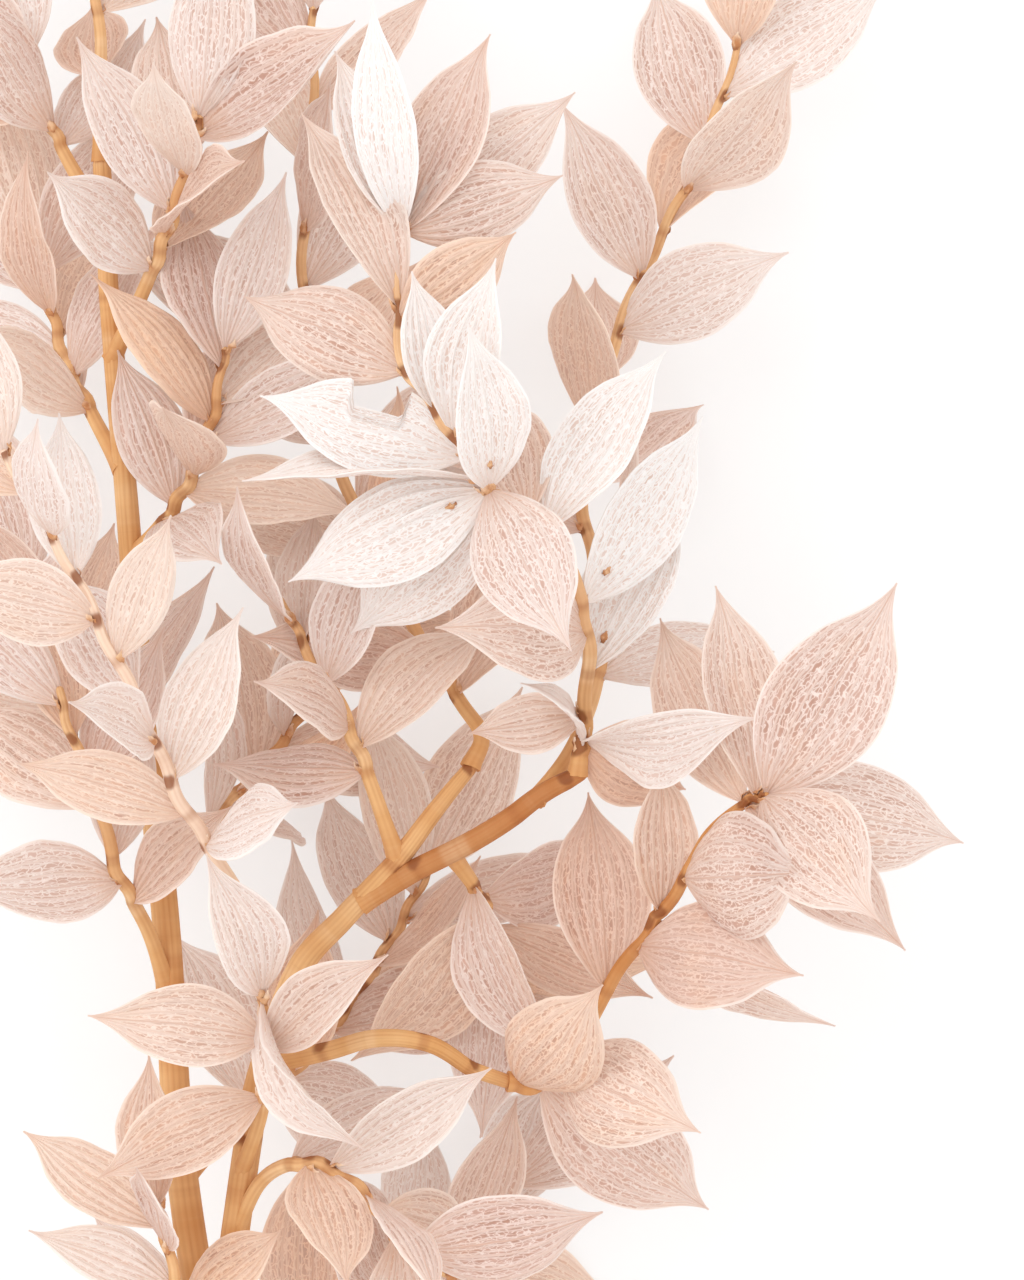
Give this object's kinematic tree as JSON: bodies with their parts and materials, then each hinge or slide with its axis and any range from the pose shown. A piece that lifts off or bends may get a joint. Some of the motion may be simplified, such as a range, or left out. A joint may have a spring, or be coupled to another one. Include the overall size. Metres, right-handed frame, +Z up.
{
  "type": "dried ruscus stem",
  "caption": "Bleached, blush-dyed dried ruscus stem lying on its side: a golden cane with forking branches and leafy twigs of pointed, net-veined leaves.",
  "frame": {"origin": "centre of the small flat spot on the underside of the cane, just above the slanting cut end, at table height", "axes": "+Y along the stem from the cut end to the leafy tip, +X to the right seen from above, +Z up from the table"},
  "size_m": [0.1584, 0.47, 0.0901],
  "materials": {
    "bark": "matte, golden-brown, finely ridged lengthwise, darker at the nodes",
    "leaf": "matte papery, bleached cream to blush pink, thin and translucent, pale raised net of veins"
  },
  "bodies": {
    "root": {"cane": "bark", "top_spray": "leaf", "right_spray": "leaf", "middle_spray": "leaf", "left_front_spray": "leaf", "right_back_spray": "leaf", "centre_spray": "leaf", "inner_spray": "leaf", "fork_spray": "leaf", "bottom_spray": "leaf", "bottom_left_spray": "leaf", "left_low_spray": "leaf", "low_centre_spray": "leaf", "left_back_spray_1": "leaf", "left_inner_spray_1": "leaf", "left_back_spray_2": "leaf", "left_inner_spray_2": "leaf", "left_back_spray_3": "leaf", "cane_tip_spray": "leaf", "under_spray_1": "leaf", "under_spray_2": "leaf"}
  },
  "joints": []
}
